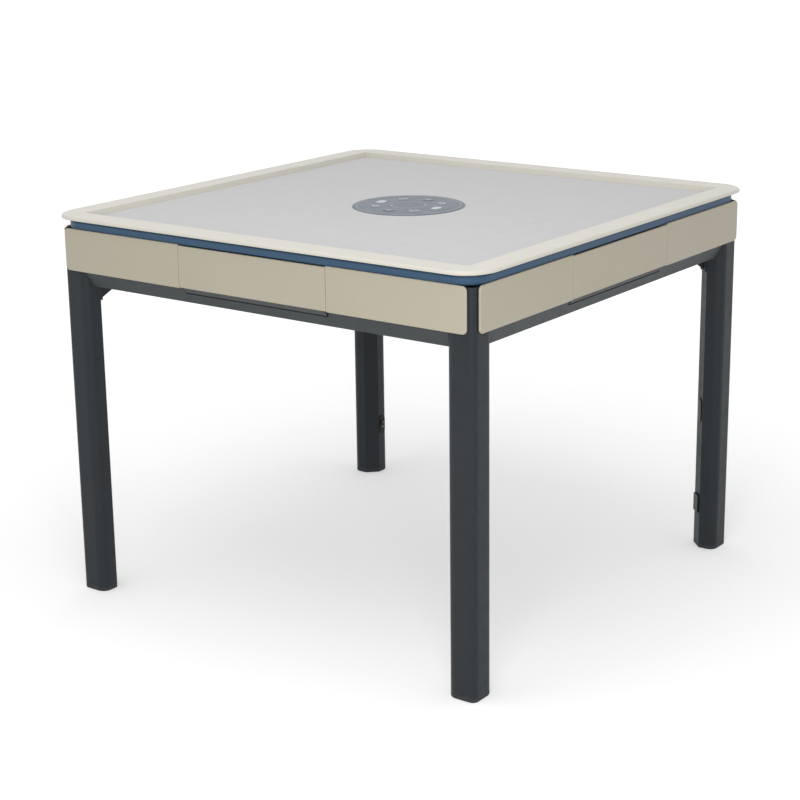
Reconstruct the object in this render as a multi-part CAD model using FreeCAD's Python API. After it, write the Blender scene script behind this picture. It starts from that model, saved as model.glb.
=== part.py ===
import FreeCAD, Part
import math
import os

# Automatic mahjong table, in millimetres.
# The origin is on the floor under the middle of the table, +Z is up and the front side faces -Y.

# Overall size
table_width = 980.0
table_height = 760.0

# Top rim
rim_width = 48.5
rim_corner_radius = 60.0
rim_lip_thickness = 7.0
rim_lip_round = 4.5
rim_lip_edge = 0.5
rim_cove_radius = 34.0
rim_inner_round = 1.5

# Playing surface
cloth_depth = 12.0
cloth_thickness = 1.0
deck_thickness = 9.0
deck_inset = 20.0
cloth_gap = 0.3

# Blue trim under the rim
trim_height = 16.0
trim_thickness = 4.0
trim_bevel = 2.4
trim_rise = 1.0
trim_joint = 0.6
trim_lap = 2.0

# Side panels and drawer fronts
panel_setback = 11.5
panel_height = 81.0
panel_thickness = 3.5
panel_flange = 3.0
panel_leg_gap = 3.0
panel_corner_gap = 17.0
panel_corner_radius = 9.0
panel_edge_round = 1.8
drawer_front_width = 340.0
drawer_seam = 0.6
drawer_top_gap = 2.0
drawer_bottom_gap = 1.2

# Legs
leg_size = 58.0
leg_setback = 5.5
leg_chamfer = 23.0
leg_side_radius = 17.5
leg_outer_radius = 12.0
leg_wall = 3.0
leg_top_gap = 0.5
foot_height = 9.0
foot_round = 2.5
foot_plug_height = 16.0
foot_plug_clearance = 0.2

# Rails of the body frame
rail_width = 22.0
upper_rail_height = 25.0
rail_wall = 2.0
rail_panel_gap = 20.0
beam_width = 20.0
beam_offset = 143.0

# Bottom cover
skirt_height = 30.0
skirt_inset = 12.0
skirt_setback = 9.0
cover_wall = 2.5
cover_leg_clearance = 0.4
finger_notch_height = 12.0
finger_notch_slant = 6.0
finger_lip_gap = 2.0
cover_screw_radius = 4.0
cover_screw_height = 2.0
cover_screw_offset = 300.0

# Diagonal corner brackets
bracket_reach = 30.0
bracket_drop = 32.0
bracket_web = 8.0
bracket_flange_width = 28.0
bracket_flange_thickness = 4.0
bracket_lower_slope = 24.0

# Drawer trays and runners
tray_width = 320.0
tray_lift_gap = 12.4
tray_height = 46.0
tray_wall = 2.0
tray_front_wall = 3.0
tray_floor_clearance = 4.0
tray_ledge_width = 9.0
tray_ledge_thickness = 3.0
tray_ledge_drop = 23.0
tray_ledge_setback = 8.0
runner_clearance = 0.3
runner_length = 90.0
runner_width = 8.0
runner_side_gap = 2.0

# Tile lifts
slot_corner_gap = 28.4
lift_length = 558.0
lift_width = 45.2
lift_seam = 0.4
lift_travel = 48.0
lift_plate_thickness = 9.0
sleeve_radius = 8.0
sleeve_offset = 200.0
rod_radius = 5.0
rod_clearance = 0.08
rod_top_clearance = 2.0
floor_clearance = 2.5
rack_module = 2.0
rack_inset = 4.0
rack_width = 10.0
rack_thickness = 6.0
rack_foot_height = 8.0
rack_foot_reach = 22.0
pinion_teeth = 14
pinion_width = 9.0
pinion_shaft_radius = 3.0
pinion_shaft_length = 3.0
gear_backlash = 0.8
gear_addendum = 0.8
gear_dedendum = 1.15
gear_flank_angle = 20.0
lift_motor_radius = 16.0
lift_motor_length = 54.0
lift_motor_gap = 0.3
lift_motor_foot = 4.0

# Shuffle tub and turntable
tub_radius = 214.5
tub_wall = 3.0
tub_flange_width = 15.0
tub_flange_thickness = 3.0
tub_height = 51.0
turntable_clearance = 1.0
turntable_thickness = 4.0
turntable_top_drop = 48.0
turntable_hub_radius = 30.0
turntable_rib_width = 5.0
turntable_rib_height = 3.0
turntable_rib_start = 45.0
turntable_rib_end = 200.0
turntable_ribs = 4
ring_module = 2.5
ring_teeth = 140
ring_band = 12.0
ring_height = 10.0
drive_teeth = 18
drive_width = 9.0
drive_backlash = 1.0
drive_shaft_radius = 5.0
running_fit = 0.08
rest_gap = 0.3
shuffle_motor_radius = 30.0

# Chassis and console lift
chassis_margin = 7.5
chassis_thickness = 3.0
beam_height = 22.5
guide_wall = 4.0
guide_flange_radius = 40.0
guide_flange_thickness = 4.0
guide_top_drop = 28.0
column_radius = 17.0
column_bore = 12.0
column_nut_height = 10.0
column_engagement = 25.0
console_travel = 50.0
screw_radius = 7.0
screw_clearance = 0.3
screw_top_gap = 6.0
console_motor_radius = 23.0
console_motor_height = 14.5

# Console
console_radius = 110.0
console_thickness = 14.0
console_proud = 1.0
console_gap = 0.6
console_edge_round = 1.5
console_hub_radius = 40.0
console_hub_height = 13.0
dice_well_radius = 30.0
dice_well_floor = 4.0
window_radius = 33.0
window_thickness = 3.0
dice_size = 12.0
dice_round = 1.5
dice_spacing = 20.0
dice_turn = 25.0
key_count = 8
key_ring_radius = 66.0
key_length = 21.0
key_width = 15.0
key_round = 4.0
key_height = 9.0
key_proud = 1.0
key_travel = 1.5
key_clearance = 0.3
key_floor_gap = 0.5
key_edge_round = 0.6

# Fittings on the legs
gland_height = 95.0
gland_box = (26.0, 38.0, 4.0)
gland_plug = (18.0, 28.0)
gland_round = 3.0
plug_height = 297.0
plug_oval = (20.0, 50.0)
plug_proud = 2.0
plug_neck = 2.0
switch_height = 116.0
switch_oval = (20.0, 43.0)
switch_proud = 2.0
switch_side_shift = 2.5
rocker_size = (11.0, 22.0)
rocker_clearance = 0.4
rocker_tilt = 8.0
rocker_proud = 1.6
rocker_depth = 7.0

# Boards in the back corners
supply_size = (96.0, 84.0, 44.0)
board_size = (96.0, 96.0, 1.6)
board_standoff = 6.0
chip_size = 24.0
chip_height = 6.0
corner_bay_gap = 15.0

# Places worked out from the sizes above
rim_half = table_width / 2
rim_inner_half = rim_half - rim_width
cloth_top = table_height - cloth_depth
deck_top = cloth_top - cloth_thickness
deck_bottom = deck_top - deck_thickness
deck_half = rim_half - deck_inset
corner_axis = rim_half - rim_corner_radius
panel_face = rim_half - panel_setback
panel_back = panel_face - panel_thickness
trim_top = deck_top + trim_rise
trim_bottom = trim_top - trim_height
panel_top = trim_bottom + trim_lap
panel_bottom = panel_top - panel_height
leg_outer = panel_face - leg_setback
leg_inner = leg_outer - leg_size
leg_top = trim_bottom - leg_top_gap
rail_outer = panel_back - rail_panel_gap
rail_inner = rail_outer - rail_width
cover_bottom = panel_bottom - skirt_height
floor_level = cover_bottom + cover_wall
skirt_top_half = panel_face - skirt_setback
skirt_bottom_half = skirt_top_half - skirt_inset
lower_rail_top = panel_bottom + panel_flange
drawer_half = drawer_front_width / 2
drawer_front_top = panel_top - drawer_top_gap
drawer_front_bottom = panel_bottom + drawer_bottom_gap
tray_half = tray_width / 2
tray_bottom = lower_rail_top + tray_floor_clearance
tray_top = tray_bottom + tray_height
ledge_bottom = tray_top - tray_ledge_drop
slot_offset = lift_length / 2 + slot_corner_gap + lift_width / 2
tray_back = slot_offset + lift_width / 2 + tray_lift_gap
lift_plate_bottom = deck_top - lift_plate_thickness
sleeve_bottom = floor_level + floor_clearance + lift_travel
rod_top = lift_plate_bottom - lift_travel - rod_top_clearance
pinion_pitch = rack_module * pinion_teeth / 2
rack_pitch_offset = slot_offset - lift_width / 2 - rack_inset
pinion_axis_offset = rack_pitch_offset - pinion_pitch
pinion_axis_height = (sleeve_bottom + rod_top) / 2
turntable_top = deck_bottom - turntable_top_drop
turntable_bottom = turntable_top - turntable_thickness
ring_bottom = turntable_bottom - ring_height
ring_pitch = ring_module * ring_teeth / 2
drive_pitch = ring_module * drive_teeth / 2
drive_offset = ring_pitch + drive_pitch
chassis_bottom = floor_level + beam_height
chassis_top = chassis_bottom + chassis_thickness
guide_radius = column_radius + running_fit + guide_wall
guide_top = cloth_top - guide_top_drop
console_top = cloth_top + console_proud
console_bottom = console_top - console_thickness
console_hub_bottom = console_bottom - console_hub_height
dice_floor = console_hub_bottom + dice_well_floor
screw_bottom = floor_level + console_motor_height + rest_gap
column_bottom = guide_top - console_travel - column_engagement
key_top = console_top + key_proud
key_bottom = key_top - key_height

side_names = ("front", "right", "back", "left")
corner_names = ("back_right", "back_left", "front_left", "front_right")
up = FreeCAD.Vector(0, 0, 1)
origin = FreeCAD.Vector(0, 0, 0)
tiny = 1e-6


def point(x, y, z):
    """A point in the table's frame."""
    return FreeCAD.Vector(x, y, z)


def turned(shape, quarter_turns):
    """A copy of a shape turned about the table's middle by quarter turns."""
    copy = shape.copy()
    copy.rotate(origin, up, 90.0 * quarter_turns)
    return copy


def all_round(shape):
    """Four copies of a shape, one on each side or corner."""
    return [turned(shape, count) for count in range(len(side_names))]


def block(x_range, y_range, z_range):
    """A box between pairs of coordinates."""
    low = point(x_range[0], y_range[0], z_range[0])
    sizes = [high - start for start, high in (x_range, y_range, z_range)]
    return Part.makeBox(sizes[0], sizes[1], sizes[2], low)


def rod(radius, z_range, x=0.0, y=0.0):
    """An upright cylinder."""
    return Part.makeCylinder(radius, z_range[1] - z_range[0], point(x, y, z_range[0]))


def tube(outer, inner, z_range, x=0.0, y=0.0):
    """An upright tube."""
    return rod(outer, z_range, x, y).cut(rod(inner, z_range, x, y))


def prism(points, sweep):
    """A polygon pushed along a vector."""
    wire = Part.makePolygon(list(points) + [points[0]])
    return Part.Face(wire).extrude(sweep)


def side_prism(outline, x_range):
    """An outline of (distance from the middle, height) pairs on the front side, pushed along X."""
    points = [point(x_range[0], -out, height) for out, height in outline]
    return prism(points, point(x_range[1] - x_range[0], 0, 0))


def fused(shapes):
    """One solid from several that touch."""
    return shapes[0].multiFuse(list(shapes[1:])).removeSplitter()


def is_upright(edge):
    """True for a straight edge along Z."""
    first, last = edge.Vertexes[0].Point, edge.Vertexes[-1].Point
    return abs(first.x - last.x) < tiny and abs(first.y - last.y) < tiny


def rounded_square(half, radius, z_range):
    """An upright plate with a square outline and round corners."""
    height = z_range[1] - z_range[0]
    plate = block((-half, half), (-half, half), z_range)
    edges = [edge for edge in plate.Edges if abs(edge.Length - height) < tiny and is_upright(edge)]
    return plate.makeFillet(radius, edges)


def rounded_box(sizes, radius, centre):
    """A block whose upright edges are round, standing on its centre point."""
    length, width, height = sizes
    box = block((-length / 2, length / 2), (-width / 2, width / 2), (0, height))
    box = box.makeFillet(radius, [edge for edge in box.Edges if is_upright(edge)])
    box.translate(centre)
    return box


def oval_bar(width, length, depth):
    """An oval with its long axis up, pushed from y = 0 along +Y."""
    radius = width / 2
    reach = length / 2 - radius
    bar = block((-radius, radius), (0, depth), (-reach, reach))
    for height in (-reach, reach):
        bar = bar.fuse(Part.makeCylinder(radius, depth, point(0, 0, height), point(0, 1, 0)))
    return bar.removeSplitter()


def gear_outline(teeth, module, backlash, first_angle):
    """Corner points of a spur gear with straight flanks, the first tooth at first_angle."""
    pitch = module * teeth / 2
    tip = pitch + gear_addendum * module
    root = pitch - gear_dedendum * module
    half_pitch = math.pi * module / 4 - backlash / 2
    flank = math.tan(math.radians(gear_flank_angle))
    half_tip = (half_pitch - gear_addendum * module * flank) / tip
    half_root = (half_pitch + gear_dedendum * module * flank) / root
    points = []
    for count in range(teeth):
        middle = first_angle + 2 * math.pi * count / teeth
        for radius, angle in ((root, -half_root), (tip, -half_tip), (tip, half_tip), (root, half_root)):
            turn = middle + angle
            points.append((radius * math.cos(turn), radius * math.sin(turn)))
    return points


def leg_face(inset):
    """The leg's section at the back right corner, moved in by a wall thickness."""
    low = leg_inner + inset
    high = leg_outer - inset
    chamfer = leg_chamfer - inset * (2 - math.sqrt(2))
    side = leg_side_radius - inset
    outer = leg_outer_radius - inset
    diagonal = math.sqrt(0.5)

    def arc(start, middle, end):
        return Part.Arc(point(*start, 0), point(*middle, 0), point(*end, 0)).toShape()

    def line(start, end):
        return Part.LineSegment(point(*start, 0), point(*end, 0)).toShape()

    side_bulge = side * (1 - diagonal)
    outer_bulge = outer * (1 - diagonal)
    edges = [
        line((low + chamfer, low), (high - side, low)),
        arc((high - side, low), (high - side_bulge, low + side_bulge), (high, low + side)),
        line((high, low + side), (high, high - outer)),
        arc((high, high - outer), (high - outer_bulge, high - outer_bulge), (high - outer, high)),
        line((high - outer, high), (low + side, high)),
        arc((low + side, high), (low + side_bulge, high - side_bulge), (low, high - side)),
        line((low, high - side), (low, low + chamfer)),
        line((low, low + chamfer), (low + chamfer, low)),
    ]
    return Part.Face(Part.Wire(edges))


def leg_bar(inset, z_range):
    """A bar with the leg's section."""
    bar = leg_face(inset).extrude(point(0, 0, z_range[1] - z_range[0]))
    bar.translate(point(0, 0, z_range[0]))
    return bar


def on_chamfer(shape, height):
    """Moves a shape from its own frame, +Y out, to the inner chamfer of the back right leg."""
    middle = leg_inner + leg_chamfer / 2
    placed = shape.copy()
    placed.rotate(origin, up, 135.0)
    placed.translate(point(middle, middle, height))
    return placed


def on_switch_face(shape):
    """Moves a shape from its own frame, +Y out, to the inner side face of the back left leg."""
    placed = shape.copy()
    placed.rotate(origin, up, -90.0)
    flat_middle = leg_inner + leg_chamfer + (leg_size - leg_chamfer - leg_side_radius) / 2
    placed.translate(point(-leg_inner, flat_middle + switch_side_shift, switch_height))
    return placed


def make_legs():
    """Four tube legs, with openings for the fittings on the two back ones."""
    tube_bar = leg_bar(0, (foot_height, leg_top)).cut(leg_bar(leg_wall, (foot_height, leg_top)))
    legs = dict(zip(corner_names, all_round(tube_bar)))
    legs["back_right"] = legs["back_right"].cut(on_chamfer(gland_neck(), gland_height))
    legs["back_right"] = legs["back_right"].cut(on_chamfer(oval_neck(plug_oval, plug_neck), plug_height))
    legs["back_left"] = legs["back_left"].cut(on_switch_face(oval_neck(switch_oval, rocker_depth)))
    return {"leg_" + name: shape for name, shape in legs.items()}


def gland_neck():
    """The part of the gland box that goes through the leg's wall."""
    half_width, half_height = gland_plug[0] / 2, gland_plug[1] / 2
    return block((-half_width, half_width), (-leg_wall - plug_neck, 0), (-half_height, half_height))


def oval_neck(oval, past_wall):
    """The part of an oval fitting that goes through the leg's wall and some way past it."""
    depth = leg_wall + past_wall
    neck = oval_bar(oval[0] - 2 * plug_neck, oval[1] - 2 * plug_neck, depth)
    neck.translate(point(0, -depth, 0))
    return neck


def make_foot_caps():
    """A cap under each leg, with a plug that goes up into the tube."""
    base = leg_bar(0, (0, foot_height))
    low_edges = [edge for edge in base.Edges if edge.BoundBox.ZMax < tiny]
    base = base.makeFillet(foot_round, low_edges)
    plug = leg_bar(leg_wall + foot_plug_clearance, (foot_height, foot_height + foot_plug_height))
    return {"foot_caps": all_round(fused([base, plug]))}


def make_corner_brackets():
    """A gusset on each leg's chamfer: a flange on the leg, one under the cover, and a web."""
    lowest = cover_bottom - bracket_drop
    half_web = bracket_web / 2
    half_flange = bracket_flange_width / 2
    web_outline = [(0, lowest), (bracket_reach, lowest + bracket_lower_slope),
                   (bracket_reach, cover_bottom), (0, cover_bottom)]
    web = prism([point(-half_web, out, height) for out, height in web_outline],
                point(bracket_web, 0, 0))
    leg_flange = block((-half_flange, half_flange), (0, bracket_flange_thickness),
                       (lowest, cover_bottom))
    cover_flange = block((-half_flange, half_flange), (0, bracket_reach),
                         (cover_bottom - bracket_flange_thickness, cover_bottom))
    return {"corner_brackets": all_round(on_chamfer(fused([web, leg_flange, cover_flange]), 0))}


def hollow_bar(x_range, y_range, z_range):
    """A square tube that runs along X."""
    inner = block(x_range, (y_range[0] + rail_wall, y_range[1] - rail_wall),
                  (z_range[0] + rail_wall, z_range[1] - rail_wall))
    return block(x_range, y_range, z_range).cut(inner)


def make_frame():
    """Upper rails under the deck, and the lower frame of four rails and two cross beams."""
    across = (-leg_inner, leg_inner)
    depth = (-rail_outer, -rail_inner)
    upper = hollow_bar(across, depth, (deck_bottom - upper_rail_height, deck_bottom))
    lower = hollow_bar(across, depth, (floor_level, lower_rail_top))
    beams = []
    for side in (-1, 1):
        middle = side * beam_offset
        beam = hollow_bar((-rail_inner, rail_inner), (middle - beam_width / 2, middle + beam_width / 2),
                          (floor_level, floor_level + beam_height))
        beams.append(turned(beam, 1))
    return {"upper_rails": all_round(upper), "lower_frame": all_round(lower) + beams}


def make_side_panels():
    """Two fixed channel panels on each side, seated on the rails by their flanges."""
    start = drawer_half + drawer_seam
    end = panel_face - panel_corner_gap
    face = block((start, end), (-panel_face, -panel_back), (panel_bottom, panel_top))
    end_edges = [edge for edge in face.Edges if edge.BoundBox.XMin > end - tiny
                 and edge.BoundBox.YLength > panel_thickness / 2]
    face = face.makeFillet(panel_corner_radius, end_edges)
    front_edges = [edge for edge in face.Edges if edge.BoundBox.YMax < -panel_face + tiny]
    face = face.makeFillet(panel_edge_round, front_edges)
    flange_end = leg_inner - panel_leg_gap
    flanges = [block((start, flange_end), (-panel_back, -rail_outer), heights)
               for heights in ((panel_bottom, panel_bottom + panel_flange),
                               (leg_top - panel_flange, leg_top))]
    panel = fused([face] + flanges)
    mirrored = panel.mirror(origin, point(1, 0, 0))
    return {"side_panels": all_round(panel) + all_round(mirrored)}


def rim_section(x):
    """The rim's section from the corner axis out to the lip, as a face at a place along X."""
    lip_low = table_height - rim_lip_thickness
    cove_middle = (rim_half - rim_lip_edge, lip_low - rim_cove_radius)
    cove_drop = trim_top - cove_middle[1]
    cove_end = (cove_middle[0] - math.sqrt(rim_cove_radius ** 2 - cove_drop ** 2), trim_top)
    turn = (math.radians(90) + math.pi - math.asin(cove_drop / rim_cove_radius)) / 2
    cove_bulge = (cove_middle[0] + rim_cove_radius * math.cos(turn),
                  cove_middle[1] + rim_cove_radius * math.sin(turn))
    diagonal = math.sqrt(0.5)
    round_middle = (rim_half - rim_lip_round, table_height - rim_lip_round)
    round_bulge = (round_middle[0] + rim_lip_round * diagonal,
                   round_middle[1] + rim_lip_round * diagonal)

    def at(pair):
        return point(x, -pair[0], pair[1])

    def line(start, end):
        return Part.LineSegment(at(start), at(end)).toShape()

    def arc(start, middle, end):
        return Part.Arc(at(start), at(middle), at(end)).toShape()

    corners = {
        "inner_low": (corner_axis, deck_top),
        "inner_high": (corner_axis, table_height),
        "round_start": (rim_half - rim_lip_round, table_height),
        "round_end": (rim_half, table_height - rim_lip_round),
        "edge": (rim_half, lip_low + rim_lip_edge),
        "lip": (rim_half - rim_lip_edge, lip_low),
        "rebate_low": (deck_half, trim_top),
        "rebate_high": (deck_half, deck_top),
    }
    edges = [
        line(corners["inner_low"], corners["inner_high"]),
        line(corners["inner_high"], corners["round_start"]),
        arc(corners["round_start"], round_bulge, corners["round_end"]),
        line(corners["round_end"], corners["edge"]),
        line(corners["edge"], corners["lip"]),
        arc(corners["lip"], cove_bulge, cove_end),
        line(cove_end, corners["rebate_low"]),
        line(corners["rebate_low"], corners["rebate_high"]),
        line(corners["rebate_high"], corners["inner_low"]),
    ]
    return Part.Face(Part.Wire(edges))


def make_rim():
    """The moulded rim: straight sides, round outer corners and a square inner wall."""
    side = rim_section(-corner_axis).extrude(point(2 * corner_axis, 0, 0))
    corner = rim_section(corner_axis).revolve(point(corner_axis, -corner_axis, 0), up, 90)
    plate = block((-corner_axis, corner_axis), (-corner_axis, corner_axis), (deck_top, table_height))
    window = block((-rim_inner_half, rim_inner_half), (-rim_inner_half, rim_inner_half),
                   (deck_top, table_height))
    rim = fused([plate] + all_round(side) + all_round(corner)).cut(window)
    inner_edges = [edge for edge in rim.Edges if edge.BoundBox.ZMin > table_height - tiny
                   and abs(max(abs(edge.CenterOfMass.x), abs(edge.CenterOfMass.y)) - rim_inner_half) < tiny]
    return {"top_rim": [rim.makeFillet(rim_inner_round, inner_edges)]}


def make_trim():
    """Blue strips under the rim on each side, and a curved piece at each corner."""
    outline = [(deck_half, trim_bottom), (deck_half + trim_thickness - trim_bevel, trim_bottom),
               (deck_half + trim_thickness, trim_bottom + trim_bevel),
               (deck_half + trim_thickness, trim_top - trim_bevel),
               (deck_half + trim_thickness - trim_bevel, trim_top), (deck_half, trim_top)]
    strip_end = corner_axis - trim_joint
    strip = side_prism(outline, (-strip_end, strip_end))
    section = Part.Face(Part.makePolygon([point(corner_axis, -out, height)
                                          for out, height in outline + outline[:1]]))
    corner = section.revolve(point(corner_axis, -corner_axis, 0), up, 90)
    return {"trim_strips": all_round(strip), "trim_corners": all_round(corner)}


def surface_openings(z_range):
    """What is cut out of the deck and the cloth: four tile slots and the console's hole."""
    half_length = lift_length / 2 + lift_seam
    half_width = lift_width / 2 + lift_seam
    slot = block((-half_length, half_length), (-slot_offset - half_width, -slot_offset + half_width),
                 z_range)
    return all_round(slot) + [rod(console_radius + console_gap, z_range)]


def make_surface():
    """The deck board and the cloth on it."""
    deck_heights = (deck_bottom, deck_top)
    cloth_heights = (deck_top, cloth_top)
    deck_radius = deck_half - corner_axis
    deck = rounded_square(deck_half, deck_radius, deck_heights)
    cloth_half = rim_inner_half - cloth_gap
    cloth = block((-cloth_half, cloth_half), (-cloth_half, cloth_half), cloth_heights)
    for opening in surface_openings((deck_bottom, cloth_top)):
        deck = deck.cut(opening)
        cloth = cloth.cut(opening)
    return {"deck_board": [deck], "playing_cloth": [cloth]}


def square_wire(half, height):
    """A square outline at a height."""
    corners = [point(sx * half, sy * half, height) for sx, sy in ((1, 1), (-1, 1), (-1, -1), (1, -1))]
    return Part.makePolygon(corners + corners[:1])


def make_bottom_cover():
    """The cover with its sloping skirt, notched for the legs and for the drawers' finger lips."""
    shell = Part.makeLoft([square_wire(skirt_bottom_half, cover_bottom),
                           square_wire(skirt_top_half, panel_bottom)], True, True)
    slope = skirt_inset / skirt_height
    inner_bottom = skirt_bottom_half + slope * cover_wall - cover_wall
    inside = Part.makeLoft([square_wire(inner_bottom, floor_level),
                            square_wire(skirt_top_half - cover_wall, panel_bottom)], True, True)
    cover = shell.cut(inside)
    leg_room = leg_bar(-cover_leg_clearance, (cover_bottom, panel_bottom))
    notch_low = panel_bottom - finger_notch_height
    wide = drawer_half + drawer_seam
    narrow = wide - finger_notch_slant
    notch = prism([point(-wide, -skirt_top_half, panel_bottom), point(wide, -skirt_top_half, panel_bottom),
                   point(narrow, -skirt_top_half, notch_low), point(-narrow, -skirt_top_half, notch_low)],
                  point(0, skirt_inset, 0))
    for cutter in all_round(leg_room) + all_round(notch):
        cover = cover.cut(cutter)
    screws = []
    for side in (-1, 1):
        place = (side * cover_screw_offset, -(rail_outer + rail_inner) / 2)
        head_low = cover_bottom - cover_screw_height
        head = rod(cover_screw_radius, (head_low, cover_bottom), *place)
        low_edges = [edge for edge in head.Edges if edge.BoundBox.ZMax < head_low + tiny]
        screws += all_round(head.makeFillet(cover_screw_height / 2, low_edges))
    return {"bottom_cover": [cover], "cover_screws": screws}


def skirt_out(height):
    """How far out the skirt's face is at a height."""
    return skirt_bottom_half + (height - cover_bottom) * skirt_inset / skirt_height


def make_drawers():
    """Per side: a front panel, and a tray with side ledges and a finger lip below the front."""
    front = block((-drawer_half, drawer_half), (-panel_face, -panel_back),
                  (drawer_front_bottom, drawer_front_top))
    outer_edges = [edge for edge in front.Edges if edge.BoundBox.YMax < -panel_face + tiny]
    front = front.makeFillet(panel_edge_round, outer_edges)
    inner_front = panel_back - tray_front_wall
    box = block((-tray_half, tray_half), (-panel_back, -tray_back), (tray_bottom, tray_top))
    hollow = block((-tray_half + tray_wall, tray_half - tray_wall), (-inner_front, -tray_back - tray_wall),
                   (tray_bottom + tray_wall, tray_top))
    tray = [box.cut(hollow)]
    ledge_heights = (ledge_bottom, ledge_bottom + tray_ledge_thickness)
    ledge_depth = (-inner_front + tray_ledge_setback, -tray_back)
    for side in (-1, 1):
        reach = sorted((side * tray_half, side * (tray_half + tray_ledge_width)))
        tray.append(block(reach, ledge_depth, ledge_heights))
    lip_low = panel_bottom - finger_notch_height + finger_lip_gap
    lip_half = drawer_half - finger_notch_slant
    lip = [(panel_back, tray_bottom + tray_wall), (panel_back, drawer_front_bottom),
           (skirt_out(lip_low), lip_low), (skirt_out(lip_low) - tray_front_wall, lip_low),
           (inner_front, drawer_front_bottom), (inner_front, tray_bottom + tray_wall)]
    tray.append(side_prism(lip, (-lip_half, lip_half)))
    fronts = all_round(front)
    trays = all_round(fused(tray))
    runner_in = tray_half + runner_side_gap
    runners = []
    for side in (-1, 1):
        reach = sorted((side * runner_in, side * (runner_in + runner_width)))
        bar = block(reach, (-rail_outer, runner_length - rail_outer),
                    (lower_rail_top, ledge_bottom - runner_clearance))
        runners += all_round(bar)
    pieces = {"drawer_runners": runners}
    for name, front_piece, tray_piece in zip(side_names, fronts, trays):
        pieces["drawer_front_" + name] = [front_piece]
        pieces["drawer_tray_" + name] = [tray_piece]
    return pieces


def rack_outline():
    """The rack's side view as (distance from the middle, height) pairs, teeth towards the middle."""
    pitch = math.pi * rack_module
    tip = rack_pitch_offset - gear_addendum * rack_module
    root = rack_pitch_offset + gear_dedendum * rack_module
    half = pitch / 4 - gear_backlash / 2
    flank = math.tan(math.radians(gear_flank_angle))
    half_tip = half - gear_addendum * rack_module * flank
    half_root = half + gear_dedendum * rack_module * flank
    lowest = math.ceil((sleeve_bottom - pinion_axis_height + half_root) / pitch)
    highest = math.floor((lift_plate_bottom - rack_foot_height - pinion_axis_height - half_root) / pitch)
    outline = [(root + rack_thickness, sleeve_bottom), (root, sleeve_bottom)]
    for count in range(lowest, highest + 1):
        middle = pinion_axis_height + count * pitch
        outline += [(root, middle - half_root), (tip, middle - half_tip),
                    (tip, middle + half_tip), (root, middle + half_root)]
    foot_low = lift_plate_bottom - rack_foot_height
    outline += [(root, lift_plate_bottom), (root + rack_foot_reach, lift_plate_bottom),
                (root + rack_foot_reach, foot_low), (root + rack_thickness, foot_low)]
    return outline


def make_lifts():
    """Per side: a slot plate with sleeves and a rack, its rods, its pinion and its geared motor."""
    half_width = lift_width / 2
    half_length = lift_length / 2
    plate = block((-half_length, half_length), (-slot_offset - half_width, half_width - slot_offset),
                  (lift_plate_bottom, deck_top))
    lift = [plate, side_prism(rack_outline(), (-rack_width / 2, rack_width / 2))]
    rods = []
    bores = []
    for side in (-1, 1):
        place = (side * sleeve_offset, -slot_offset)
        lift.append(rod(sleeve_radius, (sleeve_bottom, lift_plate_bottom), *place))
        bores.append(rod(rod_radius + rod_clearance, (sleeve_bottom, lift_plate_bottom), *place))
        rods += all_round(rod(rod_radius, (floor_level, rod_top), *place))
    lift = fused(lift)
    for bore in bores:
        lift = lift.cut(bore)
    gear_points = gear_outline(pinion_teeth, rack_module, gear_backlash,
                               math.pi + math.pi / pinion_teeth)
    pinion = prism([point(-pinion_width / 2, -pinion_axis_offset + across, pinion_axis_height + height)
                    for across, height in gear_points], point(pinion_width, 0, 0))
    shaft_start = pinion_width / 2
    shaft = Part.makeCylinder(pinion_shaft_radius, pinion_shaft_length,
                              point(shaft_start, -pinion_axis_offset, pinion_axis_height), point(1, 0, 0))
    pinion = fused([pinion, shaft])
    motor_start = shaft_start + pinion_shaft_length + lift_motor_gap
    body = Part.makeCylinder(lift_motor_radius, lift_motor_length,
                             point(motor_start, -pinion_axis_offset, pinion_axis_height), point(1, 0, 0))
    foot = block((motor_start, motor_start + lift_motor_foot),
                 (-pinion_axis_offset - lift_motor_radius, -pinion_axis_offset + lift_motor_radius),
                 (floor_level, pinion_axis_height))
    motor = fused([body, foot])
    pieces = {"lift_guide_rods": rods, "lift_motors": all_round(motor)}
    for name, lift_piece, pinion_piece in zip(side_names, all_round(lift), all_round(pinion)):
        pieces["tile_lift_" + name] = [lift_piece]
        pieces["lift_pinion_" + name] = [pinion_piece]
    return pieces


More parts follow.
